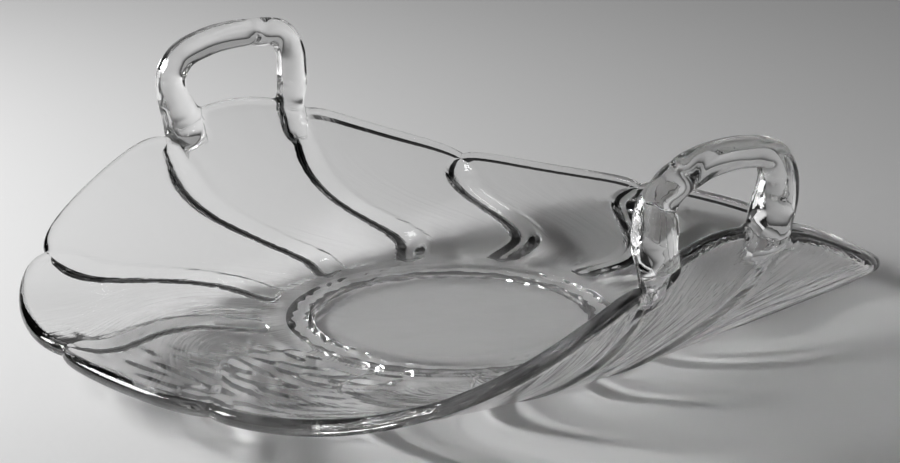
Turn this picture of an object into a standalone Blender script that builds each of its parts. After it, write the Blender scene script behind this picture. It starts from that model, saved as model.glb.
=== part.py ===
"""Clear pressed-glass tray: two opposite sides are turned up, each with a loop handle.

X runs from handle to handle, Y from low end to low end, Z up.
The origin is on the table, under the middle of the foot ring.
"""
from math import asin, atan2, cos, hypot, pi, radians, sin, tau

import bmesh
import bpy
from mathutils import Matrix, Vector

# Rim, on the line through the notches between the scallops
SIDE_RADIUS = 0.1046
QUARTER_RADIUS = 0.1243
END_RADIUS = 0.1237
SIDE_HEIGHT = 0.0505
QUARTER_HEIGHT = 0.0231
END_HEIGHT = 0.0175
LOW_END_DROP = 0.0032
FOLD_LEAD = radians(2.5)

# Wall and floor
FLOOR_THICKNESS = 0.0050
WALL_THICKNESS = 0.0046
LIP_THICKNESS = 0.0042
LIP_BAND = 0.0030
LIP_STEP = 0.0005
LIP_SLOPE = 0.0018
SIDE_STEEPNESS = 2.6
END_STEEPNESS = 1.33

# Foot ring under the floor
FOOT_HEIGHT = 0.0028
FOOT_RADIUS = 0.0500
FOOT_GROUND_OUTER = 0.0478
FOOT_GROUND_INNER = 0.0442
FOOT_INNER = 0.0415

# Swirled panels
PANEL_COUNT = 12
SCALLOP_BULGE = 0.0035
PANEL_CROWN = 0.0004
RIDGE_WIDTH = 0.0128
RIDGE_HEIGHT = 0.0022
RIDGE_TOP = 0.97
RIDGE_FULL = 0.86
SWIRL_ANGLE = radians(17.6)
SWIRL_TOP = 0.86
SWIRL_BOTTOM = 0.30
PANEL_BOTTOM = 0.11
PANEL_FADE = 0.05

# Loop handles: bar, legs, feet and tongues are widths along the rim, depths are across it
HANDLE_BAR = 0.0086
HANDLE_RISE = 0.0255
HANDLE_LEG_SPREAD = 0.0247
HANDLE_SHOULDER_SPREAD = 0.0211
HANDLE_SKEW = 0.0017
REAR_LEG = 0.0094
REAR_DEPTH = 0.0084
REAR_SHOULDER_DROPS = (0.0048, 0.0032)
FRONT_LEG = 0.0132
FRONT_DEPTH = 0.0100
FRONT_SHIFT = 0.0028
FRONT_SHOULDER_DROPS = (0.0036, 0.0056)
WIDE_FOOT_SPREAD = 0.0205
WIDE_FOOT_FLARE = 0.0044
WIDE_FOOT_TONGUE = 0.0070
NARROW_FOOT_SPREAD = 0.0236
NARROW_FOOT_FLARE = 0.0012
NARROW_FOOT_TONGUE = 0.0110
FOOT_DEPTH = 0.0066
FOOT_OVERHANG = 0.0014
TONGUE_WIDTH = 0.0076
TONGUE_DEPTH = 0.0034
BAR_SQUARENESS = 2.8
SEAT_GAP = 0.0003

# Mesh counts
COLUMNS_PER_PANEL = 10
WALL_ROWS = 11
LIP_ROWS = 6
RINGS_PER_SPAN = 3
BAR_CORNERS = 16

GLASS_COLOUR = (0.93, 0.95, 0.95, 1.0)
GLASS_ROUGHNESS = 0.02
GLASS_INDEX = 1.52

PANEL_PITCH = tau / PANEL_COUNT


def clear_scene():
    """Remove whatever the open file holds."""
    for item in list(bpy.data.objects):
        bpy.data.objects.remove(item, do_unlink=True)


def make_collection(name):
    """Return a new collection linked to the scene."""
    collection = bpy.data.collections.new(name)
    bpy.context.scene.collection.children.link(collection)
    return collection


def glass_material(name):
    """Return a clear glass material."""
    material = bpy.data.materials.new(name)
    material.use_nodes = True
    shader = material.node_tree.nodes["Principled BSDF"]
    shader.inputs["Base Color"].default_value = GLASS_COLOUR
    shader.inputs["Roughness"].default_value = GLASS_ROUGHNESS
    shader.inputs["Metallic"].default_value = 0.0
    shader.inputs["IOR"].default_value = GLASS_INDEX
    shader.inputs["Transmission Weight"].default_value = 1.0
    return material


def smooth_step(low, high, value):
    """Ease from 0 at low to 1 at high."""
    share = min(max((value - low) / (high - low), 0.0), 1.0)
    return share * share * (3.0 - 2.0 * share)


def around_fold(side, quarter, end, angle):
    """Give a size that varies smoothly round the fold, from side to quarter to end."""
    fourth = ((side + end) / 2 - quarter) / 2
    mean = quarter + fourth
    second = (side - end) / 2
    return mean + second * cos(2 * angle) + fourth * cos(4 * angle)


def outer_surface(climb, angle):
    """Place a point of the folded outer wall: climb is 0 at the foot and 1 at the notch line."""
    fold_angle = angle - FOLD_LEAD
    radius = around_fold(SIDE_RADIUS, QUARTER_RADIUS, END_RADIUS, fold_angle)
    height = around_fold(SIDE_HEIGHT, QUARTER_HEIGHT, END_HEIGHT, fold_angle)
    height -= LOW_END_DROP * max(-sin(fold_angle), 0.0) ** 2
    steepness = (SIDE_STEEPNESS + END_STEEPNESS) / 2
    steepness += (SIDE_STEEPNESS - END_STEEPNESS) / 2 * cos(2 * fold_angle)
    reach = FOOT_RADIUS + (radius - FOOT_RADIUS) * climb
    rise = FOOT_HEIGHT + (height - FOOT_HEIGHT) * max(climb, 0.0) ** steepness
    return Vector((reach * cos(angle), reach * sin(angle), rise))


def surface_normal(climb, angle):
    """Return the wall's normal, which points into the tray."""
    step = 0.001
    along = outer_surface(climb + step, angle) - outer_surface(climb - step, angle)
    around = outer_surface(climb, angle + step) - outer_surface(climb, angle - step)
    return along.cross(around).normalized()


def panel_share(column, reach):
    """Say how far across its panel a column lies: five columns stay on the ridge between two panels."""
    edge = RIDGE_WIDTH / 2 / (PANEL_PITCH * reach)
    if column <= 2:
        return edge * column / 2
    if column >= COLUMNS_PER_PANEL - 2:
        return 1.0 - edge * (COLUMNS_PER_PANEL - column) / 2
    return edge + (1.0 - 2 * edge) * (column - 2) / (COLUMNS_PER_PANEL - 4)


def rim_stretch(angle):
    """Return the length of wall that one unit of climb covers at the rim."""
    step = 0.001
    return (outer_surface(1.0, angle) - outer_surface(1.0 - step, angle)).length / step


def outer_relief(climb, share, from_edge, reach):
    """Give how far the outer face is sunk below the lip's band; the ridges and the panels stand proud."""
    panel = smooth_step(PANEL_BOTTOM - PANEL_FADE, PANEL_BOTTOM + PANEL_FADE, climb)
    sunk = min(max((from_edge - LIP_BAND) / LIP_SLOPE, 0.0), 1.0)
    off = min(share, 1.0 - share) * PANEL_PITCH * reach / (RIDGE_WIDTH / 2)
    ridge = (0.5 + 0.5 * cos(pi * min(off, 1.0))) * smooth_step(RIDGE_TOP, RIDGE_FULL, climb)
    crown = 4 * share * (1.0 - share)
    return (LIP_STEP * sunk - PANEL_CROWN * crown - RIDGE_HEIGHT * ridge) * panel


def press(blank_radius, height, column):
    """Carry a point of the round flat blank to its place on the pressed and folded tray."""
    climb = (blank_radius - FOOT_RADIUS) / (END_RADIUS - FOOT_RADIUS)
    reach = max(blank_radius, FOOT_RADIUS)
    panel, panel_column = divmod(column, COLUMNS_PER_PANEL)
    share = panel_share(panel_column, reach)
    swirl = SWIRL_ANGLE * (1.0 - smooth_step(SWIRL_BOTTOM, SWIRL_TOP, climb))
    angle = (panel + share - 0.5) * PANEL_PITCH - swirl
    if climb < 1e-6:
        return Vector((blank_radius * cos(angle), blank_radius * sin(angle), FOOT_HEIGHT + height))
    stretch = rim_stretch(angle)
    from_edge = END_RADIUS - blank_radius
    if from_edge < LIP_BAND + 2 * LIP_SLOPE:
        climb = 1.0 - from_edge / stretch
    climb += SCALLOP_BULGE / stretch * (1.0 - abs(2 * share - 1.0) ** 6) * climb ** 3
    outer_side = smooth_step(LIP_THICKNESS, 0.0, height)
    height += outer_relief(climb, share, from_edge, reach) * outer_side
    return outer_surface(climb, angle) + surface_normal(climb, angle) * height


def blank_profile(grow):
    """Return the blank's half section, from the axis below to the axis above."""
    lip = LIP_THICKNESS / 2
    lip_centre = END_RADIUS - lip
    points = [
        (0.0, -grow),
        (FOOT_INNER, -grow),
        (FOOT_GROUND_INNER, -FOOT_HEIGHT - grow),
        (FOOT_GROUND_OUTER, -FOOT_HEIGHT - grow),
        (FOOT_RADIUS, -grow),
    ]
    for row in range(1, WALL_ROWS):
        radius = FOOT_RADIUS + (lip_centre - FOOT_RADIUS) * row / WALL_ROWS
        points.append((radius, -grow))
    points.append((END_RADIUS - LIP_BAND - LIP_SLOPE, -grow))
    points.append((END_RADIUS - LIP_BAND, -grow))
    for row in range(LIP_ROWS + 1):
        turn = pi * row / LIP_ROWS - pi / 2
        points.append((lip_centre + (lip + grow) * cos(turn), lip + (lip + grow) * sin(turn)))
    for row in range(WALL_ROWS - 1, 0, -1):
        share = row / WALL_ROWS
        radius = FOOT_RADIUS + (lip_centre - FOOT_RADIUS) * share
        thickness = FLOOR_THICKNESS + (WALL_THICKNESS - FLOOR_THICKNESS) * smooth_step(0.0, 0.5, share)
        thickness += (LIP_THICKNESS - WALL_THICKNESS) * smooth_step(0.5, 1.0, share)
        points.append((radius, thickness + grow))
    points.append((FOOT_RADIUS, FLOOR_THICKNESS + grow))
    points.append((0.0, FLOOR_THICKNESS + grow))
    return points


def pressed_tray_mesh(name, grow):
    """Spin the blank's section into a disc, then press and fold every point of it."""
    column_count = PANEL_COUNT * COLUMNS_PER_PANEL
    shape = bmesh.new()
    corners = [shape.verts.new((radius, 0.0, height)) for radius, height in blank_profile(grow)]
    edges = [shape.edges.new(pair) for pair in zip(corners, corners[1:])]
    bmesh.ops.spin(
        shape,
        geom=corners + edges,
        cent=(0.0, 0.0, 0.0),
        axis=(0.0, 0.0, 1.0),
        angle=tau,
        steps=column_count,
        use_merge=True,
    )
    bmesh.ops.remove_doubles(shape, verts=shape.verts, dist=1e-6)
    for vertex in shape.verts:
        radius = hypot(vertex.co.x, vertex.co.y)
        column = round(atan2(vertex.co.y, vertex.co.x) / tau * column_count) % column_count
        vertex.co = press(radius, vertex.co.z, column)
    bmesh.ops.triangulate(shape, faces=shape.faces, quad_method="FIXED")
    bmesh.ops.recalc_face_normals(shape, faces=shape.faces)
    mesh = bpy.data.meshes.new(name)
    shape.to_mesh(mesh)
    shape.free()
    return mesh


def wall_middle(climb, across):
    """Return the middle of the wall near the rim, a distance along Y from the handle panel's middle."""
    angle = asin(across / SIDE_RADIUS)
    return outer_surface(climb, angle) + surface_normal(climb, angle) * LIP_THICKNESS / 2


def handle_knots(leg_width, depth, shift, drops):
    """Return the loop's knots from foot to foot: a place, the bar's width along the rim and its depth."""
    plane = wall_middle(1.0, 0.0).x

    def on_loop(spread, rise):
        return plane, shift + spread + HANDLE_SKEW * rise / HANDLE_RISE, SIDE_HEIGHT + rise

    def on_wall(below, across):
        angle = asin(across / SIDE_RADIUS)
        return outer_surface(1.0 - below / rim_stretch(angle), angle)

    halves = []
    feet = (
        (1, WIDE_FOOT_SPREAD, WIDE_FOOT_FLARE, WIDE_FOOT_TONGUE),
        (-1, NARROW_FOOT_SPREAD, NARROW_FOOT_FLARE, NARROW_FOOT_TONGUE),
    )
    for (side, foot_spread, flare, tongue), drop in zip(feet, drops):
        foot = side * foot_spread
        leg = side * HANDLE_LEG_SPREAD
        shoulder = side * HANDLE_SHOULDER_SPREAD
        foot_width = leg_width + flare
        ankle_width = (foot_width + leg_width) / 2
        tongue_width = (TONGUE_WIDTH + foot_width) / 2
        tongue_depth = (TONGUE_DEPTH + FOOT_DEPTH) / 2
        lip = wall_middle(1.0, shift + foot)
        halves.append([
            (*on_wall(tongue, shift + foot), TONGUE_WIDTH, TONGUE_DEPTH),
            (*on_wall(tongue / 2, shift + foot), tongue_width, tongue_depth),
            (lip.x + FOOT_OVERHANG, lip.y, lip.z, foot_width, FOOT_DEPTH),
            (*on_loop((foot + 2 * leg) / 3, HANDLE_RISE * 0.22), ankle_width, depth),
            (*on_loop(leg, HANDLE_RISE * 0.42), leg_width, depth),
            (*on_loop(leg, HANDLE_RISE * 0.62), (leg_width + HANDLE_BAR) / 2, depth),
            (*on_loop(shoulder, HANDLE_RISE - drop), HANDLE_BAR, depth),
            (*on_loop(shoulder / 2, HANDLE_RISE - drop / 5), HANDLE_BAR, depth),
        ])
    knots = halves[0] + [(*on_loop(0.0, HANDLE_RISE), HANDLE_BAR, depth)] + halves[1][::-1]
    return [Vector(knot) for knot in knots]


def smooth_line(knots):
    """Draw a smooth line through the knots, with even steps in every span."""
    bends = [(after - before) / 2 for before, after in zip(knots, knots[2:])]
    bends = [knots[1] - knots[0]] + bends + [knots[-1] - knots[-2]]
    line = []
    for number in range(len(knots) - 1):
        for step in range(RINGS_PER_SPAN):
            t = step / RINGS_PER_SPAN
            start = knots[number] * (1 + 2 * t) + bends[number] * t
            end = knots[number + 1] * (3 - 2 * t) - bends[number + 1] * (1 - t)
            line.append(start * (1 - t) ** 2 + end * t ** 2)
    return line + [knots[-1]]


def squared(value):
    """Fill out a sine or cosine, so that a round section becomes a rounded strap."""
    return (1 if value > 0 else -1) * abs(value) ** (2 / BAR_SQUARENESS)


def handle_mesh(name, knots):
    """Sweep the strap's section along the loop and return it as a closed mesh."""
    line = smooth_line(knots)
    shape = bmesh.new()
    rings = []
    for number, knot in enumerate(line):
        before = line[max(number - 1, 0)]
        after = line[min(number + 1, len(line) - 1)]
        along = (after.xyz - before.xyz).normalized()
        outward = (Vector((1.0, 0.0, 0.0)) - along * along.x).normalized()
        sideways = along.cross(outward)
        ring = []
        for corner in range(BAR_CORNERS):
            turn = tau * (corner + 0.5) / BAR_CORNERS
            across = sideways * squared(cos(turn)) * knot[3] / 2
            through = outward * squared(sin(turn)) * knot[4] / 2
            ring.append(shape.verts.new(knot.xyz + across + through))
        rings.append(ring)
    for ring, following in zip(rings, rings[1:]):
        for corner in range(BAR_CORNERS):
            last = corner - 1
            shape.faces.new((ring[last], ring[corner], following[corner], following[last]))
    shape.faces.new(rings[0])
    shape.faces.new(rings[-1])
    bmesh.ops.recalc_face_normals(shape, faces=shape.faces)
    mesh = bpy.data.meshes.new(name)
    shape.to_mesh(mesh)
    shape.free()
    return mesh


def shade_round(mesh, sharp_angle):
    """Shade a mesh smooth, apart from its sharp edges."""
    mesh.shade_smooth()
    mesh.set_sharp_from_angle(angle=sharp_angle)


def add_body(collection):
    """Add the pressed glass dish with its foot ring."""
    mesh = pressed_tray_mesh("tray_body", 0.0)
    shade_round(mesh, radians(50))
    body = bpy.data.objects.new("tray_body", mesh)
    mesh.materials.append(glass_material("body_glass"))
    collection.objects.link(body)


def add_seat_cutter(collection):
    """Add the dish grown by the seat gap, which trims the handles' feet."""
    cutter = bpy.data.objects.new("handle_seat", pressed_tray_mesh("handle_seat", SEAT_GAP))
    cutter.hide_render = True
    cutter.display_type = "WIRE"
    collection.objects.link(cutter)
    return cutter


def add_handle(collection, name, turn, knots, cutter):
    """Add one loop handle, turned about the tray's axis and trimmed to sit over the rim."""
    mesh = handle_mesh(name, knots)
    shade_round(mesh, radians(60))
    mesh.materials.append(glass_material(name + "_glass"))
    handle = bpy.data.objects.new(name, mesh)
    handle.matrix_world = Matrix.Rotation(turn, 4, "Z")
    collection.objects.link(handle)
    trim = handle.modifiers.new("rim_seat", "BOOLEAN")
    trim.operation = "DIFFERENCE"
    trim.solver = "EXACT"
    trim.object = cutter


clear_scene()
tray = make_collection("handled_muffin_tray")
cutters = make_collection("cutters")
add_body(tray)
seat = add_seat_cutter(cutters)
rear_knots = handle_knots(REAR_LEG, REAR_DEPTH, 0.0, REAR_SHOULDER_DROPS)
front_knots = handle_knots(FRONT_LEG, FRONT_DEPTH, FRONT_SHIFT, FRONT_SHOULDER_DROPS)
add_handle(tray, "rear_handle", 0.0, rear_knots, seat)
add_handle(tray, "front_handle", pi, front_knots, seat)
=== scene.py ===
"""Looks of the handled muffin tray: clear pressed glass on a pale table, seen as in the photograph."""
from math import radians, tau

import bmesh
import bpy
import numpy as np
from mathutils import Matrix, Vector
from mathutils.bvhtree import BVHTree
from mathutils.geometry import barycentric_transform


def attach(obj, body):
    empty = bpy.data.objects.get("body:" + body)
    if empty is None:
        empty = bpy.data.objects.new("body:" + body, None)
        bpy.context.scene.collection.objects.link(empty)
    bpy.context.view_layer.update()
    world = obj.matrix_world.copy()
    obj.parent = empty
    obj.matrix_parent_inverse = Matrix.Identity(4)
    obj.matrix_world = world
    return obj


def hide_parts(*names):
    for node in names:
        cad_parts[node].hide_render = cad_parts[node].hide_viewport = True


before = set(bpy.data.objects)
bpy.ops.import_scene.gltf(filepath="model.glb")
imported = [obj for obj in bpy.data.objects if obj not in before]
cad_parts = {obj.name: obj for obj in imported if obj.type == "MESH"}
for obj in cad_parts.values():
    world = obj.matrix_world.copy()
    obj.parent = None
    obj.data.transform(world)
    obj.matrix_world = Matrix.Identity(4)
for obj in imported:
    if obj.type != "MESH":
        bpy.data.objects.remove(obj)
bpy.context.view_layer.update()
scene = bpy.context.scene


# Dish: one gather of soda-lime glass, pressed in an iron mould and then folded while soft, so that two
# opposite sides stand up. Twelve pillowed panels swirl from the rim to a smooth band round the foot ring.
# Sizes are metres, and a climb is a share of the way from the foot ring to the notches of the rim.
SIDE_RADIUS, QUARTER_RADIUS, END_RADIUS = 0.1046, 0.1243, 0.1237
SIDE_HEIGHT, QUARTER_HEIGHT, END_HEIGHT = 0.0505, 0.0231, 0.0175
SIDE_STEEPNESS, END_STEEPNESS = 2.6, 1.33
FOLD_LEAD = radians(2.5)
FLOOR_THICKNESS, WALL_THICKNESS, LIP_THICKNESS = 0.0050, 0.0046, 0.0042
FOOT_HEIGHT, FOOT_RADIUS, FOOT_INNER = 0.0028, 0.0500, 0.0415
FOOT_GROUND_OUTER, FOOT_GROUND_INNER = 0.0478, 0.0442
PANEL_COUNT = 12
PANEL_PITCH = tau / PANEL_COUNT
PANEL_START = (0.08, 0.15)
PANEL_CROWN, NEAR_CROWN = 0.0004, 0.0014
SCALLOP_BULGE, SCALLOP_SQUARENESS, SCALLOP_FADE = 0.0035, 6, 3
SMALL_STEP, LEAST_SHARE, LEAST_LENGTH = 0.001, 1e-3, 1e-6
# Both low ends and the tip beside the front handle sag more than an even fold would.
FAR_END_DROP = 0.0032
TIP_PLACE, TIP_SPREAD, TIP_REACH, TIP_DROP = radians(227), radians(16), 0.0036, 0.0018
NEAR_PLACE, NEAR_FOCUS, NEAR_DROP = radians(98), 4.0, 0.0044


def ease(low, high, value):
    """Rise smoothly from 0 at low to 1 at high."""
    share = np.clip((value - low) / (high - low), 0.0, 1.0)
    return share * share * (3.0 - 2.0 * share)


def near_to(place, focus, angle):
    """Give 1 at a place round the tray, falling off smoothly, and faster with a higher focus."""
    return np.exp(focus * (np.cos(angle - place) - 1.0))


def around_fold(side, quarter, end, angle):
    """Give a size that varies smoothly round the fold, from side to quarter to end."""
    fourth = ((side + end) / 2 - quarter) / 2
    return quarter + fourth + (side - end) / 2 * np.cos(2 * angle) + fourth * np.cos(4 * angle)


def wall_point(climb, angle):
    """Place points of the folded outer wall: climb is 0 at the foot and 1 at the notch line."""
    fold = angle - FOLD_LEAD
    radius = around_fold(SIDE_RADIUS, QUARTER_RADIUS, END_RADIUS, fold)
    height = around_fold(SIDE_HEIGHT, QUARTER_HEIGHT, END_HEIGHT, fold)
    height = height - FAR_END_DROP * np.clip(-np.sin(fold), 0.0, 1.0) ** 2
    tip = np.exp(-((np.mod(angle, tau) - TIP_PLACE) / TIP_SPREAD) ** 2)
    radius = radius + TIP_REACH * tip
    height = height - TIP_DROP * tip - NEAR_DROP * near_to(NEAR_PLACE, NEAR_FOCUS, angle)
    mean = (SIDE_STEEPNESS + END_STEEPNESS) / 2
    steepness = mean + (SIDE_STEEPNESS - END_STEEPNESS) / 2 * np.cos(2 * fold)
    reach = FOOT_RADIUS + (radius - FOOT_RADIUS) * climb
    rise = FOOT_HEIGHT + (height - FOOT_HEIGHT) * np.maximum(climb, 0.0) ** steepness
    return np.stack([reach * np.cos(angle), reach * np.sin(angle), rise], axis=-1)


def wall_normal(climb, angle):
    """Give the wall's normals, which point into the tray."""
    along = wall_point(climb + SMALL_STEP, angle) - wall_point(climb - SMALL_STEP, angle)
    around = wall_point(climb, angle + SMALL_STEP) - wall_point(climb, angle - SMALL_STEP)
    across = np.cross(along, around)
    return across / np.linalg.norm(across, axis=-1, keepdims=True)


def rim_stretch(angle):
    """Give the length of wall that one unit of climb covers at the rim."""
    below_rim = wall_point(1.0 - SMALL_STEP, angle)
    return np.linalg.norm(wall_point(1.0, angle) - below_rim, axis=-1) / SMALL_STEP


# Rows of points on the section, from the axis out along the underside and back over the inside.
AXIS_RING, LOWER_WALL, LIP_APPROACH = 0.004, 0.020, 0.0022
LIP_BAND, REAR_LIP_BAND, LIP_STEP, LIP_EDGE = 0.0030, 0.0021, 0.0006, 0.0018
RECESS_ROWS, RING_ROWS, LOWER_ROWS, UPPER_ROWS = 12, 30, 60, 50
SHOULDER_ROWS, LIP_ROWS, INSIDE_ROWS, FLOOR_ROWS = 28, 17, 60, 14


def blank_section():
    """Trace the half section of the flat blank from axis to axis, as radius and height."""
    lip = LIP_THICKNESS / 2
    lip_centre = END_RADIUS - lip
    recess = np.linspace(AXIS_RING, FOOT_INNER, RECESS_ROWS)
    ring = np.linspace(FOOT_INNER, FOOT_RADIUS, RING_ROWS)[1:]
    ring_drop = ease(FOOT_INNER, FOOT_GROUND_INNER, ring)
    ring_drop = ring_drop * (1.0 - ease(FOOT_GROUND_OUTER, FOOT_RADIUS, ring))
    low_end = FOOT_RADIUS + LOWER_WALL
    high_end = END_RADIUS - LIP_BAND - LIP_APPROACH
    wall = np.concatenate([
        np.linspace(FOOT_RADIUS, low_end, LOWER_ROWS)[1:],
        np.linspace(low_end, high_end, UPPER_ROWS)[1:],
        np.linspace(high_end, lip_centre, SHOULDER_ROWS)[1:-1],
    ])
    turn = np.linspace(-np.pi / 2, np.pi / 2, LIP_ROWS)
    inside = np.linspace(lip_centre, FOOT_RADIUS, INSIDE_ROWS)[1:]
    share = (inside - FOOT_RADIUS) / (lip_centre - FOOT_RADIUS)
    thickness = FLOOR_THICKNESS + (WALL_THICKNESS - FLOOR_THICKNESS) * ease(0.0, 0.5, share)
    thickness += (LIP_THICKNESS - WALL_THICKNESS) * ease(0.5, 1.0, share)
    floor = np.linspace(FOOT_RADIUS, AXIS_RING, FLOOR_ROWS)[1:]
    radius = np.concatenate([recess, ring, wall, lip_centre + lip * np.cos(turn), inside, floor])
    height = np.concatenate([
        recess * 0.0, -FOOT_HEIGHT * ring_drop, wall * 0.0,
        lip + lip * np.sin(turn), thickness, floor * 0.0 + FLOOR_THICKNESS,
    ])
    return radius, height


# Ribs between the panels, on the outside. Those at the front and at the near low end are lower and softer.
RIB_WIDTH, RIB_HEIGHT, RIB_ROUND, LEAST_RIB = 0.0128, 0.0022, 0.2, 0.0003
RIB_TOP, RIB_FULL, RIB_END, RIB_TAIL = 0.97, 0.86, 0.08, 0.05
RIB_COLUMNS = (-1.1, -1.0, -0.9, -0.8, -0.7, -0.6, -0.45, -0.3, -0.15, 0.0)
PANEL_COLUMNS = 34
FRONT_MIDDLE, REAR_MIDDLE, NEAR_MIDDLE = radians(205), radians(15), radians(118)
SOFT_RIB, SOFT_FRONT, SOFT_NEAR = 0.36, (0.2, 0.7), (0.75, 0.86)


def rib_share(climb):
    """Give the share of the rib's width and height: none under the lip, full below it, a round lower end."""
    grown = np.clip((RIB_TOP - climb) / (RIB_TOP - RIB_FULL), 0.0, 1.0)
    left = 1.0 - np.clip((climb - RIB_END) / RIB_TAIL, 0.0, 1.0)
    return (1.0 - (1.0 - grown) ** 2) * np.sqrt(1.0 - left * left)


def rib_flank(off):
    """Fall evenly from 1 at the rib's top to 0 at its foot, rounded at both."""
    steep = 1.0 / (1.0 - RIB_ROUND)
    top = 1.0 - steep * off * off / (2 * RIB_ROUND)
    middle = 1.0 - steep * (off - RIB_ROUND / 2)
    foot = steep * (1.0 - off) ** 2 / (2 * RIB_ROUND)
    return np.where(off < RIB_ROUND, top, np.where(off < 1.0 - RIB_ROUND, middle, foot))


def rib_height(angle, from_rib, grown):
    """Give how far the ribs stand out of the wall."""
    off = np.minimum(from_rib / (RIB_WIDTH / 2 * np.maximum(grown, LEAST_SHARE)), 1.0)
    steep = rib_flank(off)
    soft = SOFT_RIB * (0.5 + 0.5 * np.cos(np.pi * off))
    softness = np.maximum(
        ease(*SOFT_FRONT, np.cos(angle - FRONT_MIDDLE)), ease(*SOFT_NEAR, np.cos(angle - NEAR_MIDDLE)),
    )
    return RIB_HEIGHT * grown * (steep + (soft - steep) * softness)


def panel_columns(reach, climb):
    """Spread the columns over one panel, close together across the rib: share of the panel for each."""
    half = np.maximum(RIB_WIDTH / 2 * rib_share(climb), LEAST_RIB)
    rib = np.array(RIB_COLUMNS)
    rib = np.concatenate([rib, -rib[-2::-1]])[:, None]
    rib = rib * half / (PANEL_PITCH * reach)
    spread = np.linspace(0.0, 1.0, PANEL_COLUMNS)[1:-1, None]
    return np.concatenate([rib, rib[-1] + spread * (1.0 - 2 * rib[-1])])


# Uneven waves in the near panels' outer face, as sines along the wall and round the tray.
SWELL_PLACE, SWELL_FOCUS, SWELL_DEPTH, SWELL_SIZE = radians(96), 18.0, 0.00022, 0.0058
SWELL_BEND, SWELL_BENDS, SWELL_FADE, SWELL_FADES = 2.5, 9, 0.3, 13
SLANT_WAVES, SLANT_STRETCH, SLANT_BEND, SLANT_BEND_SIZE = 28, 2.5, 1.5, 0.023
CROSS_WAVES, CROSS_STRETCH, SWELL_RUN_OUT = 17, 1.4, 0.006


def near_swell(angle, radius):
    """Give the waves' height, before their depth is applied."""
    along = tau * radius / SWELL_SIZE
    fade = 1.0 - SWELL_FADE + SWELL_FADE * np.sin(SWELL_FADES * angle)
    rings = fade * np.sin(along + SWELL_BEND * np.sin(SWELL_BENDS * angle))
    bend = SLANT_BEND * np.sin(tau * radius / SLANT_BEND_SIZE)
    slants = np.sin(SLANT_WAVES * angle + along / SLANT_STRETCH + bend)
    crossing = np.sin(CROSS_WAVES * angle - along / CROSS_STRETCH)
    return (rings + slants + crossing) * near_to(SWELL_PLACE, SWELL_FOCUS, angle)


# The step under the lip is weak at the front and at the rear left. Its band is narrower along the rear.
WEAK_FRONT, WEAK_FRONT_STEP = (0.45, 0.8), 0.8
WEAK_REAR, WEAK_REAR_STEP, NARROW_REAR = (0.80, 0.90), 0.85, (0.0, 0.5)


def outer_relief(angle, share, radius, climb, from_edge, grown):
    """Give how deep the outer face lies under the lip's face, less what stands out of it there."""
    front = np.cos(angle - FRONT_MIDDLE)
    rear = np.cos(angle - REAR_MIDDLE)
    panel = ease(*PANEL_START, climb)
    band = LIP_BAND + (REAR_LIP_BAND - LIP_BAND) * ease(*NARROW_REAR, rear)
    sunk = np.clip((from_edge - band) / LIP_EDGE, 0.0, 1.0) * panel
    sunk = sunk * (1.0 - WEAK_FRONT_STEP * ease(*WEAK_FRONT, front))
    sunk = sunk * (1.0 - WEAK_REAR_STEP * ease(*WEAK_REAR, rear))
    crown = PANEL_CROWN + NEAR_CROWN * near_to(NEAR_PLACE, NEAR_FOCUS, angle) * sunk
    away = np.abs(2 * np.clip(share, 0.0, 1.0) - 1.0)
    from_rib = np.minimum(np.abs(share), np.abs(1.0 - share)) * PANEL_PITCH * radius
    swell = near_swell(angle, radius) * panel * np.clip((from_edge - LIP_BAND) / SWELL_RUN_OUT, 0.0, 1.0)
    depth = LIP_STEP * sunk - crown * (1.0 - away ** 2) * panel
    return depth - rib_height(angle, from_rib, grown) + SWELL_DEPTH * swell


# Painted shade: dark lines on one flank of each steep rib, and slanted dark streaks at the two ends of the
# foot ring, standing for light that the glass reflects inside itself.
RIB_SHADE_SIDE, RIB_SHADE_WIDTH, RIB_SHADE_FOOT, RIB_SHADE_TAPER = 0.0030, 0.0034, 1.1, 0.6
SHADE_FREE_FRONT = (0.2, 0.6)
RING_SHADE_LINES, RING_SHADE_PLACE, RING_SHADE_SLANT, RING_SHADE_WIDTH = 26, 0.0428, 0.0012, 0.0013
RING_SHADE_WANDER, RING_SHADE_WANDERS = 0.3, 5
RING_END, RING_END_REACH = radians(47), (0.45, 0.85)


def painted_rib_shade(angle, share, radius, climb, grown):
    """Give nearness to the painted shade on one flank of a rib, from 0 to 1."""
    beside = np.where(share < 0.5, share, share - 1.0) * PANEL_PITCH * radius
    width = RIB_SHADE_WIDTH * grown * (RIB_SHADE_FOOT - RIB_SHADE_TAPER * climb)
    flank_shade = 1.0 - np.abs(beside - RIB_SHADE_SIDE * grown) / np.maximum(width, LEAST_LENGTH)
    clear = 1.0 - ease(*SHADE_FREE_FRONT, np.cos(angle - FRONT_MIDDLE))
    return np.clip(flank_shade, 0.0, 1.0) * clear * (1.0 - ease(*SOFT_NEAR, np.cos(angle - NEAR_MIDDLE)))


def painted_ring_shade(angle, radius):
    """Give nearness to a painted streak of shade in the foot ring, from 0 to 1."""
    wander = RING_SHADE_WANDER * np.sin(RING_SHADE_WANDERS * angle)
    turns = np.mod(angle * RING_SHADE_LINES / tau + wander, 1.0) - 0.5
    from_shade_line = np.abs(radius - RING_SHADE_PLACE - RING_SHADE_SLANT * turns)
    at_ends = ease(*RING_END_REACH, np.abs(np.cos(angle - RING_END)))
    return np.clip(1.0 - from_shade_line / RING_SHADE_WIDTH, 0.0, 1.0) * at_ends


# Swirl of the panels, with a hook at their lower ends, and ripples in the foot ring: waves, start and share.
SWIRL_START, SWIRL_ANGLE, HOOK_ANGLE = radians(0.8), radians(17.6), radians(2.5)
SWIRL_TOP, SWIRL_BOTTOM, HOOK_END = 0.86, 0.30, 0.08
RING_RIPPLE = 0.0004
RING_RIPPLES = ((23, 1.0, 1.0), (41, 2.0, 0.7), (59, 0.0, 0.5))
STREAK_RADIUS, STREAK_STRETCH, STREAK_LEAN = 0.09, 30, radians(28)


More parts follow.
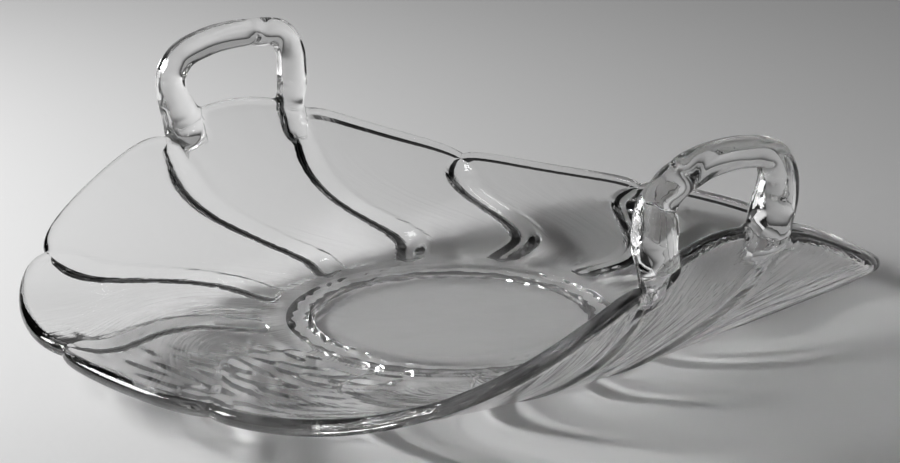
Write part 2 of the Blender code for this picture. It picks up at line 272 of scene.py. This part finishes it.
def press(radius, height):
    """Press and fold the blank: gives points, nearness to a painted line of shade, and places on the
    unswirled blank.
    """
    climb = ((radius - FOOT_RADIUS) / (END_RADIUS - FOOT_RADIUS))[None, :]
    shares = panel_columns(np.maximum(radius, FOOT_RADIUS)[None, :], climb)
    swirl = SWIRL_ANGLE * (1.0 - ease(SWIRL_BOTTOM, SWIRL_TOP, climb)) - SWIRL_START
    swirl = swirl - HOOK_ANGLE * ease(SWIRL_BOTTOM, HOOK_END, climb)
    panels = np.arange(PANEL_COUNT)[:, None, None]
    angle = (panels + shares[None] - 0.5) * PANEL_PITCH - swirl[None]
    angle = angle.reshape(-1, len(radius))
    share = np.tile(shares, (PANEL_COUNT, 1))
    climb = np.broadcast_to(climb, angle.shape)
    height = np.broadcast_to(height, angle.shape)
    flat = climb < LEAST_LENGTH
    grown = rib_share(climb)
    stretch = rim_stretch(angle)
    from_edge = np.broadcast_to(END_RADIUS - radius, angle.shape)
    climb = np.where(from_edge < 2 * LIP_BAND, 1.0 - from_edge / stretch, climb)
    away = np.abs(2 * np.clip(share, 0.0, 1.0) - 1.0)
    bulge = SCALLOP_BULGE / stretch * (1.0 - away ** SCALLOP_SQUARENESS)
    climb = climb + bulge * np.maximum(climb, 0.0) ** SCALLOP_FADE
    outer = ease(LIP_THICKNESS, 0.0, height)
    depth = outer_relief(angle, share, radius, climb, from_edge, grown) * outer
    pressed = wall_point(climb, angle) + wall_normal(climb, angle) * (height + depth)[..., None]
    ripple = sum(part * np.sin(waves * angle + start) for waves, start, part in RING_RIPPLES)
    reach = radius + RING_RIPPLE * ripple * ease(0.0, -FOOT_HEIGHT, height)
    floor = np.stack([reach * np.cos(angle), reach * np.sin(angle), FOOT_HEIGHT + height], axis=-1)
    under_floor = flat & (height < FLOOR_THICKNESS / 2)
    on_wall = ~flat & (outer > 0.5)
    # Painted shade: the dark lines on the rib flanks and the foot ring's streaks, kept for the glass's
    # colour.
    dark = np.where(on_wall, painted_rib_shade(angle, share, radius, climb, grown), 0.0)
    dark = np.where(under_floor, painted_ring_shade(angle, radius), dark)
    unswirled = angle + swirl + STREAK_LEAN * (1.0 - climb)
    streak = np.stack([
        STREAK_RADIUS * np.cos(unswirled), STREAK_RADIUS * np.sin(unswirled),
        np.broadcast_to(radius / STREAK_STRETCH, angle.shape),
    ], axis=-1)
    return np.where(flat[..., None], floor, pressed), dark, streak


def dish_mesh(name):
    """Join the pressed points into a closed mesh with a point at each end of the axis."""
    radius, height = blank_section()
    points, dark, streak = press(radius, height)
    columns, rows = points.shape[:2]
    shape = bmesh.new()
    grid = [[shape.verts.new(point) for point in column] for column in points.tolist()]
    below = shape.verts.new((0.0, 0.0, FOOT_HEIGHT))
    above = shape.verts.new((0.0, 0.0, FOOT_HEIGHT + FLOOR_THICKNESS))
    for column in range(columns):
        here, there = grid[column], grid[(column + 1) % columns]
        for row in range(rows - 1):
            shape.faces.new((here[row], there[row], there[row + 1], here[row + 1]))
        shape.faces.new((below, there[0], here[0]))
        shape.faces.new((above, here[-1], there[-1]))
    bmesh.ops.recalc_face_normals(shape, faces=shape.faces)
    mesh = bpy.data.meshes.new(name)
    shape.to_mesh(mesh)
    shape.free()
    mesh.shade_smooth()
    # The painted shade's lines, stored for the glass to turn dark there.
    mark = mesh.attributes.new("painted_shade_line", "FLOAT", "POINT")
    mark.data.foreach_set("value", np.concatenate([dark.ravel(), [0.0, 0.0]]))
    mark = mesh.attributes.new("streak", "FLOAT_VECTOR", "POINT")
    mark.data.foreach_set("vector", np.concatenate([streak.reshape(-1, 3), np.zeros((2, 3))]).ravel())
    return mesh


def linear(colour):
    """Turn an sRGB hex colour into linear red, green, blue and alpha."""
    parts = [int(colour[i:i + 2], 16) / 255 for i in (1, 3, 5)]
    return [c / 12.92 if c <= 0.04045 else ((c + 0.055) / 1.055) ** 2.4 for c in parts] + [1.0]


def add_node(tree, kind, settings=None, **links):
    """Add a shader node, set its properties and sockets, and link the sockets that name an output."""
    node = tree.nodes.new(kind)
    for key, value in (settings or {}).items():
        if key in node.inputs:
            node.inputs[key].default_value = value
        else:
            setattr(node, key, value)
    for key, output in links.items():
        tree.links.new(output, node.inputs[key.replace("_", " ")])
    return node


# Soda-lime glass, pressed and then fire-polished: colourless, mirror smooth, with the faint slow waves
# that a mould and a reheating leave, which break up the straight lines seen through it.
GLASS_TINT = "#fdfdfd"
GLASS_INDEX = 1.51
FLOW_START = 0.008


def fire_polished_glass(name, wave_size, wave_depth, streak_size, streak_depth):
    """Make the clear glass of one piece, with slow waves and long flow streaks in its surface."""
    material = bpy.data.materials.new(name)
    material.use_nodes = True
    tree = material.node_tree
    shader = tree.nodes["Principled BSDF"]
    shader.inputs["Base Color"].default_value = linear(GLASS_TINT)
    shader.inputs["Roughness"].default_value = 0.0
    shader.inputs["IOR"].default_value = GLASS_INDEX
    shader.inputs["Transmission Weight"].default_value = 1.0
    along = add_node(tree, "ShaderNodeAttribute", {"attribute_name": "streak"})
    streaks = add_node(
        tree, "ShaderNodeTexNoise", {"Scale": 1.0 / streak_size, "Detail": 2.0},
        Vector=along.outputs["Vector"],
    )
    outward = add_node(tree, "ShaderNodeSeparateXYZ", Vector=along.outputs["Vector"])
    floor_edge = FOOT_RADIUS / STREAK_STRETCH
    off_floor = add_node(
        tree, "ShaderNodeMapRange",
        {"From Min": floor_edge, "From Max": floor_edge + FLOW_START / STREAK_STRETCH},
        Value=outward.outputs["Z"],
    )
    flow_lines = add_node(
        tree, "ShaderNodeBump", {"Distance": streak_depth},
        Height=streaks.outputs["Fac"], Strength=off_floor.outputs["Result"],
    )
    place = add_node(tree, "ShaderNodeTexCoord")
    waves = add_node(
        tree, "ShaderNodeTexNoise", {"Scale": 1.0 / wave_size, "Detail": 4.0},
        Vector=place.outputs["Object"],
    )
    bump = add_node(
        tree, "ShaderNodeBump", {"Strength": 1.0, "Distance": wave_depth},
        Height=waves.outputs["Fac"], Normal=flow_lines.outputs["Normal"],
    )
    tree.links.new(bump.outputs["Normal"], shader.inputs["Normal"])
    return material


# The dish's waves are about 18 mm long and its flow streaks 3.6 mm apart. Its dark lines are painted shade:
# the glass is tinted dark grey and made less clear there, standing for light it reflects inside itself,
# which shows the dark of the room.
DISH_WAVE, DISH_WAVE_DEPTH, DISH_STREAK, DISH_STREAK_DEPTH = 0.018, 0.00008, 0.0036, 0.00016
PAINTED_SHADE_GREY, PAINTED_SHADE_CLEARNESS = "#0c0c0c", 0.3
PAINTED_SHADE_START, PAINTED_SHADE_FULL = 0.40, 0.60
glass = fire_polished_glass("dish_glass", DISH_WAVE, DISH_WAVE_DEPTH, DISH_STREAK, DISH_STREAK_DEPTH)
tree = glass.node_tree
shader = tree.nodes["Principled BSDF"]
near = add_node(tree, "ShaderNodeAttribute", {"attribute_name": "painted_shade_line"})
line = add_node(
    tree, "ShaderNodeMapRange",
    {"interpolation_type": "SMOOTHSTEP", "From Min": PAINTED_SHADE_START, "From Max": PAINTED_SHADE_FULL},
    Value=near.outputs["Fac"],
)
# Painted shade: the glass turns dark grey and less clear along the marked lines.
shade = add_node(
    tree, "ShaderNodeMixRGB", {"Color1": linear(GLASS_TINT), "Color2": linear(PAINTED_SHADE_GREY)},
    Fac=line.outputs["Result"],
)
tree.links.new(shade.outputs["Color"], shader.inputs["Base Color"])
clear = add_node(
    tree, "ShaderNodeMapRange", {"To Min": 1.0, "To Max": PAINTED_SHADE_CLEARNESS}, Value=line.outputs["Result"],
)
tree.links.new(clear.outputs["Result"], shader.inputs["Transmission Weight"])
dish = bpy.data.objects.new("dish", dish_mesh("dish"))
dish.data.materials.append(glass)
scene.collection.objects.link(dish)


# Handles: two loops of soda-lime glass bar, each set hot on the lip of a turned-up side, with flared feet
# and a short tongue that flow over the rim and down the wall. The front loop is thicker than the rear one.
HANDLE_BAR, HANDLE_RISE = 0.0086, 0.0255
HANDLE_LEG_SPREAD, HANDLE_SHOULDER_SPREAD = 0.0247, 0.0211
HANDLE_SKEW = 0.0017
REAR_LEG, REAR_DEPTH, REAR_SHIFT, REAR_DROPS = 0.0094, 0.0084, 0.0, (0.0048, 0.0032)
FRONT_LEG, FRONT_DEPTH, FRONT_SHIFT, FRONT_DROPS = 0.0132, 0.0100, 0.0028, (0.0036, 0.0056)
FEET = ((0.0205, 0.0044, 0.0060), (-0.0236, 0.0012, 0.0110))
FOOT_DEPTH, FOOT_OVERHANG = 0.0066, 0.0014
TONGUE_WIDTH, TONGUE_DEPTH, TONGUE_ROUND = 0.0080, 0.0026, 0.0040
BAR_SQUARENESS = 2.8
LEG_LOW, LEG_MIDDLE, LEG_HIGH, TOP_DROP = 0.22, 0.42, 0.62, 0.2
SQUARE_FROM = 0.4
SHOULDER_TWIST, TWIST_SPOT, TWIST_SPREAD, TWIST_LOW, TWIST_HIGH = 1.2, 0.7, 0.006, 0.5, 0.9
LOOP_WAVE, LOOP_WAVE_DEPTH, LOOP_STREAK, LOOP_STREAK_DEPTH = 0.009, 0.00012, 0.0030, 0.00010
LOOP_POINTS, END_POINTS, BAR_POINTS = 140, 14, 40


def wall_middle(climb, across):
    """Give the middle of the wall near the rim, a distance along Y from the handle panel's middle."""
    angle = np.arcsin(across / SIDE_RADIUS)
    return wall_point(climb, angle) + wall_normal(climb, angle) * LIP_THICKNESS / 2


def handle_knots(leg_width, depth, shift, drops):
    """Give the loop's centre line from foot to foot, each knot with the bar's width and depth."""
    plane = wall_middle(1.0, 0.0)[0]

    def on_loop(spread, rise):
        return plane, shift + spread + HANDLE_SKEW * rise / HANDLE_RISE, SIDE_HEIGHT + rise

    def on_wall(below, across):
        angle = np.arcsin(across / SIDE_RADIUS)
        return wall_point(1.0 - below / rim_stretch(angle), angle)

    halves = []
    for side, (foot, flare, tongue), drop in zip((1, -1), FEET, drops):
        leg = side * HANDLE_LEG_SPREAD
        shoulder = side * HANDLE_SHOULDER_SPREAD
        foot_width = leg_width + flare
        half_depth = (TONGUE_DEPTH + FOOT_DEPTH) / 2
        lip = wall_middle(1.0, shift + foot)
        halves.append([
            (*on_wall(tongue, shift + foot), TONGUE_WIDTH, TONGUE_DEPTH),
            (*on_wall(tongue / 2, shift + foot), (TONGUE_WIDTH + foot_width) / 2, half_depth),
            (lip[0] + FOOT_OVERHANG, lip[1], lip[2], foot_width, FOOT_DEPTH),
            (*on_loop((foot + 2 * leg) / 3, HANDLE_RISE * LEG_LOW), (foot_width + leg_width) / 2, depth),
            (*on_loop(leg, HANDLE_RISE * LEG_MIDDLE), leg_width, depth),
            (*on_loop(leg, HANDLE_RISE * LEG_HIGH), (leg_width + HANDLE_BAR) / 2, depth),
            (*on_loop(shoulder, HANDLE_RISE - drop), HANDLE_BAR, depth),
            (*on_loop(shoulder / 2, HANDLE_RISE - drop * TOP_DROP), HANDLE_BAR, depth),
        ])
    return np.array(halves[0] + [(*on_loop(0.0, HANDLE_RISE), HANDLE_BAR, depth)] + halves[1][::-1])


def smooth_through(knots):
    """Draw a smooth line through the knots, with close points at both rounded ends."""
    gaps = np.linalg.norm(np.diff(knots[:, :3], axis=0), axis=1)
    along = np.concatenate([[0.0], np.cumsum(gaps)])
    slope = np.gradient(knots, along, axis=0)
    close = TONGUE_ROUND * (1.0 - np.cos(np.linspace(0.0, np.pi / 2, END_POINTS)))[1:]
    where = np.linspace(TONGUE_ROUND, along[-1] - TONGUE_ROUND, LOOP_POINTS)[1:-1]
    where = np.concatenate([close, where, along[-1] - close[::-1]])
    span = np.clip(np.searchsorted(along, where) - 1, 0, len(gaps) - 1)
    gap = gaps[span][:, None]
    way = (where[:, None] - along[span][:, None]) / gap
    start, end = knots[span], knots[span + 1]
    bend = slope[span] * gap * way * (1 - way) ** 2 - slope[span + 1] * gap * way * way * (1 - way)
    line = start * (1 - way) ** 2 * (1 + 2 * way) + end * way * way * (3 - 2 * way) + bend
    from_end = np.clip(np.minimum(where, along[-1] - where) / TONGUE_ROUND, 0.0, 1.0)
    line[:, 3:] *= np.sqrt(1.0 - (1.0 - from_end) ** 2)[:, None]
    return line


def handle_mesh(name, turn, knots):
    """Sweep a rounded strap's section along the loop, turned about the tray's axis, as a closed mesh."""
    path = smooth_through(knots)
    middle, wide, deep = path[:, :3], path[:, 3:4], path[:, 4:5]
    along = np.gradient(middle, axis=0)
    along /= np.linalg.norm(along, axis=1, keepdims=True)
    outward = np.array([1.0, 0.0, 0.0]) - along * along[:, :1]
    outward /= np.linalg.norm(outward, axis=1, keepdims=True)
    sideways = np.cross(along, outward)
    risen = (middle[:, 2:3] - SIDE_HEIGHT) / HANDLE_RISE
    from_twist = middle[:, 1:2] + HANDLE_SHOULDER_SPREAD * TWIST_SPOT
    twist = SHOULDER_TWIST * np.exp(-((from_twist / TWIST_SPREAD) ** 2)) * ease(TWIST_LOW, TWIST_HIGH, risen)
    square = 2.0 + (BAR_SQUARENESS - 2.0) * ease(0.0, SQUARE_FROM, risen)
    shape = bmesh.new()
    rings = []
    corners = np.linspace(0.0, tau, BAR_POINTS, endpoint=False)
    for corner in corners:
        cosine, sine = np.cos(corner), np.sin(corner)
        across = np.sign(cosine) * np.abs(cosine) ** (2.0 / square) * wide / 2
        through = np.sign(sine) * np.abs(sine) ** (2.0 / square) * deep / 2
        turned = across * np.cos(twist) - through * np.sin(twist)
        through = across * np.sin(twist) + through * np.cos(twist)
        edge = middle + sideways * turned + outward * through
        rings.append([shape.verts.new(point) for point in edge.tolist()])
    for here, there in zip(rings, rings[1:] + rings[:1]):
        for row in range(len(path) - 1):
            shape.faces.new((here[row], there[row], there[row + 1], here[row + 1]))
    shape.faces.new([ring[0] for ring in rings])
    shape.faces.new([ring[-1] for ring in rings])
    bmesh.ops.recalc_face_normals(shape, faces=shape.faces)
    mesh = bpy.data.meshes.new(name)
    shape.to_mesh(mesh)
    shape.free()
    mesh.transform(Matrix.Rotation(turn, 4, "Z"))
    mesh.shade_smooth()
    length = np.cumsum(np.linalg.norm(np.diff(middle, axis=0, prepend=middle[:1]), axis=1))
    length, around = np.meshgrid((2 * FOOT_RADIUS + length) / STREAK_STRETCH, corners)
    bar = HANDLE_BAR / 2
    streak = np.stack([bar * np.cos(around), bar * np.sin(around), length], axis=-1)
    mark = mesh.attributes.new("streak", "FLOAT_VECTOR", "POINT")
    mark.data.foreach_set("vector", streak.ravel())
    return mesh


loops = []
for name, turn, knots in (
    ("rear_loop", 0.0, handle_knots(REAR_LEG, REAR_DEPTH, REAR_SHIFT, REAR_DROPS)),
    ("front_loop", np.pi, handle_knots(FRONT_LEG, FRONT_DEPTH, FRONT_SHIFT, FRONT_DROPS)),
):
    loop = bpy.data.objects.new(name, handle_mesh(name, turn, knots))
    loop.data.materials.append(fire_polished_glass(
        name + "_glass", LOOP_WAVE, LOOP_WAVE_DEPTH, LOOP_STREAK, LOOP_STREAK_DEPTH,
    ))
    scene.collection.objects.link(loop)
    loops.append(loop)


# Joins: the feet melted into the lip, so dish and loops are one body of glass with no seam inside. They are
# fused, the corner round each foot is rounded as hot glass rounds it, and the skin is then parted again.
FOOT_FILLET, FLOW_ROUNDS, FLAT_SLOPE = 0.0026, 5, 0.2
for loop in loops:
    fuse = dish.modifiers.new(loop.name, "BOOLEAN")
    fuse.operation = "UNION"
    fuse.solver = "MANIFOLD"
    fuse.material_mode = "TRANSFER"
    fuse.object = loop
bpy.context.view_layer.update()
fused = bpy.data.meshes.new_from_object(dish.evaluated_get(bpy.context.evaluated_depsgraph_get()))
dish.modifiers.clear()


def skin_of(mesh):
    """Give a search tree over a mesh's triangles, with their corners and the smooth normals there."""
    mesh.calc_loop_triangles()
    points = [vertex.co.copy() for vertex in mesh.vertices]
    normals = [vertex.normal.copy() for vertex in mesh.vertices]
    triangles = [tuple(face.vertices) for face in mesh.loop_triangles]
    return BVHTree.FromPolygons(points, triangles), points, normals, triangles


def over_skin(skin, spot):
    """Measure how high a point lies over a skin, with the smooth normal under it."""
    tree, points, normals, triangles = skin
    under, flat, index, _ = tree.find_nearest(spot)
    corners = triangles[index]
    places = [points[i] for i in corners]
    normal = barycentric_transform(under, *places, *[normals[i] for i in corners])
    return (spot - under).dot(flat), normal.normalized()


def flow_together(mesh, dish_skin, loop_skin, normals):
    """Round the corner between a handle's feet and the dish by a smooth union of both."""
    for vertex in mesh.vertices:
        if loop_skin[0].find_nearest(vertex.co, FOOT_FILLET)[0] is None:
            continue
        if dish_skin[0].find_nearest(vertex.co, FOOT_FILLET)[0] is None:
            continue
        for _ in range(FLOW_ROUNDS):
            dish_height, dish_normal = over_skin(dish_skin, vertex.co)
            loop_height, loop_normal = over_skin(loop_skin, vertex.co)
            overlap = max(FOOT_FILLET - abs(dish_height - loop_height), 0.0) / FOOT_FILLET
            height = min(dish_height, loop_height) - overlap * overlap * FOOT_FILLET / 4
            share = min(max(0.5 + 0.5 * (loop_height - dish_height) / FOOT_FILLET, 0.0), 1.0)
            slope = dish_normal * share + loop_normal * (1.0 - share)
            if slope.length < FLAT_SLOPE:
                break
            vertex.co -= slope * (height / slope.length_squared)
            normals[vertex.index] = slope.normalized()


def keep_material(mesh, slot):
    """Copy the faces of one material out of the fused glass, with the fused glass's smooth normals."""
    part = mesh.copy()
    shape = bmesh.new()
    shape.from_mesh(part)
    gone = [face for face in shape.faces if face.material_index != slot]
    bmesh.ops.delete(shape, geom=gone, context="FACES")
    for face in shape.faces:
        face.material_index = 0
    shape.to_mesh(part)
    shape.free()
    flow = part.attributes["flow"]
    part.normals_split_custom_set_from_vertices([point.vector for point in flow.data])
    part.attributes.remove(flow)
    return part


dish_skin = skin_of(dish.data)
fused_normals = [vertex.normal.copy() for vertex in fused.vertices]
for loop in loops:
    flow_together(fused, dish_skin, skin_of(loop.data), fused_normals)
flow = fused.attributes.new("flow", "FLOAT_VECTOR", "POINT")
flow.data.foreach_set("vector", np.array(fused_normals).ravel())
pieces = [dish] + loops
nodes = ("tray_body", "rear_handle", "front_handle")
slots = ("body_glass", "rear_handle_glass", "front_handle_glass")
for index, (piece, node, slot) in enumerate(zip(pieces, nodes, slots)):
    glass = piece.data.materials[0]
    piece.data = keep_material(fused, index)
    piece.data.materials.clear()
    piece.data.materials.append(glass)
    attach(piece, "root")
    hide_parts(node)


# Table: a broad sheet of pale matt paper under the tray, laid a hair below the ground face of the foot ring.
# Paper scatters light evenly with no shine, so it shows the tray's shadow and darkens away from the window.
PAPER, PAPER_ROUGHNESS = "#e4e4e4", 0.9
PAPER_REACH, PAPER_DROP = 4.0, 0.0002
mesh = bpy.data.meshes.new("table")
corners = [(x * PAPER_REACH, y * PAPER_REACH, 0.0) for x, y in ((-1, -1), (1, -1), (1, 1), (-1, 1))]
mesh.from_pydata(corners, [], [(0, 1, 2, 3)])
table = bpy.data.objects.new("table", mesh)
table.location.z = -PAPER_DROP
scene.collection.objects.link(table)
paper = bpy.data.materials.new("matt_paper")
paper.use_nodes = True
surface = paper.node_tree.nodes["Principled BSDF"]
surface.inputs["Base Color"].default_value = linear(PAPER)
surface.inputs["Roughness"].default_value = PAPER_ROUGHNESS
surface.inputs["Specular IOR Level"].default_value = 0.0
mesh.materials.append(paper)


# Camera: at the photograph's place, about 85 cm from the tray, looking down at it by some 17 degrees.
# The long lens fits the photograph's frame of 900 by 463 pixels.
CAMERA_PLACE = Vector((-0.5882, 0.5464, 0.2774))
CAMERA_AIM = Vector((0.7010, -0.6507, -0.2917))
SENSOR_WIDTH, FOCAL_LENGTH = 36.0, 111.68
camera_data = bpy.data.cameras.new("camera")
camera_data.sensor_width = SENSOR_WIDTH
camera_data.lens = FOCAL_LENGTH
camera = bpy.data.objects.new("camera", camera_data)
camera.location = CAMERA_PLACE
camera.rotation_euler = CAMERA_AIM.to_track_quat("-Z", "Y").to_euler()
scene.collection.objects.link(camera)
scene.camera = camera


# Light: a soft window at the left of the camera's view, with a small bright core that gives the shadows
# sharper edges. The room round it is dim, with a low bright panel ahead and another at the right, which
# the glass mirrors.
ahead = Vector((CAMERA_AIM.x, CAMERA_AIM.y, 0.0)).normalized()
right = ahead.cross(Vector((0.0, 0.0, 1.0)))
WINDOW_PLACE = right * -0.72 + ahead * 0.067 + Vector((0.0, 0.0, 0.40))
WINDOW_SIZE, WINDOW_POWER = 0.34, 6.3
CORE_SIZE, CORE_POWER = 0.09, 2.5
HORIZON_GLOW, CEILING_GLOW, CEILING_START, CEILING_FULL = 0.012, 0.035, 0.30, 0.85
AHEAD_FULL, AHEAD_EDGE, AHEAD_TOP, AHEAD_GLOW = 0.90, 0.72, 0.50, 0.32
RIGHT_FULL, RIGHT_EDGE, RIGHT_TOP, RIGHT_GLOW = 0.95, 0.75, 0.34, 0.8
SOFT_TOP = 0.68


def add_window(name, size, power):
    """Hang a square soft light at the window's place, facing the tray."""
    lamp = bpy.data.lights.new(name, "AREA")
    lamp.shape = "RECTANGLE"
    lamp.size = size
    lamp.size_y = size
    lamp.energy = power
    window = bpy.data.objects.new(name, lamp)
    window.location = WINDOW_PLACE
    window.rotation_euler = (-WINDOW_PLACE).to_track_quat("-Z", "Y").to_euler()
    scene.collection.objects.link(window)
    return window


add_window("window", WINDOW_SIZE, WINDOW_POWER)
core = add_window("window_core", CORE_SIZE, CORE_POWER)
core.data.cycles.is_caustics_light = True
table.cycles.is_caustics_receiver = True
for piece in pieces:
    piece.cycles.is_caustics_caster = True
world = bpy.data.worlds.new("room")
world.use_nodes = True
room = world.node_tree
direction = add_node(room, "ShaderNodeTexCoord")
upward = add_node(room, "ShaderNodeSeparateXYZ", Vector=direction.outputs["Generated"])
ceiling = add_node(
    room, "ShaderNodeMapRange",
    {
        "interpolation_type": "SMOOTHSTEP", "From Min": CEILING_START, "From Max": CEILING_FULL,
        "To Min": HORIZON_GLOW, "To Max": CEILING_GLOW,
    },
    Value=upward.outputs["Z"],
)


def add_panel(under, toward, full, edge, top, strength):
    """Stand a soft bright panel on the horizon in one direction, over what is already in the room."""
    facing = add_node(room, "ShaderNodeVectorMath", {"operation": "DOT_PRODUCT"})
    facing.inputs[1].default_value = toward
    room.links.new(direction.outputs["Generated"], facing.inputs[0])
    sideways = add_node(
        room, "ShaderNodeMapRange",
        {"interpolation_type": "SMOOTHSTEP", "From Min": edge, "From Max": full, "To Max": strength},
        Value=facing.outputs["Value"],
    )
    low = add_node(
        room, "ShaderNodeMapRange",
        {"interpolation_type": "SMOOTHSTEP", "From Min": top, "From Max": top * SOFT_TOP},
        Value=upward.outputs["Z"],
    )
    panel = add_node(room, "ShaderNodeMath", {"operation": "MULTIPLY"})
    room.links.new(sideways.outputs["Result"], panel.inputs[0])
    room.links.new(low.outputs["Result"], panel.inputs[1])
    both = add_node(room, "ShaderNodeMath", {"operation": "MAXIMUM"})
    room.links.new(under, both.inputs[0])
    room.links.new(panel.outputs["Value"], both.inputs[1])
    return both.outputs["Value"]


glow = add_panel(ceiling.outputs["Result"], ahead, AHEAD_FULL, AHEAD_EDGE, AHEAD_TOP, AHEAD_GLOW)
glow = add_panel(glow, right, RIGHT_FULL, RIGHT_EDGE, RIGHT_TOP, RIGHT_GLOW)
room.nodes["Background"].inputs["Color"].default_value = linear("#ffffff")
room.links.new(glow, room.nodes["Background"].inputs["Strength"])
scene.world = world
scene.view_settings.view_transform = "Standard"
# Light crosses many faces of the glass, and its glints are neither blurred nor clamped.
GLASS_BOUNCES, SHINE_BOUNCES = 24, 8
scene.cycles.max_bounces = GLASS_BOUNCES
scene.cycles.transmission_bounces = GLASS_BOUNCES
scene.cycles.glossy_bounces = SHINE_BOUNCES
scene.cycles.blur_glossy = 0.0
scene.cycles.sample_clamp_indirect = 0.0
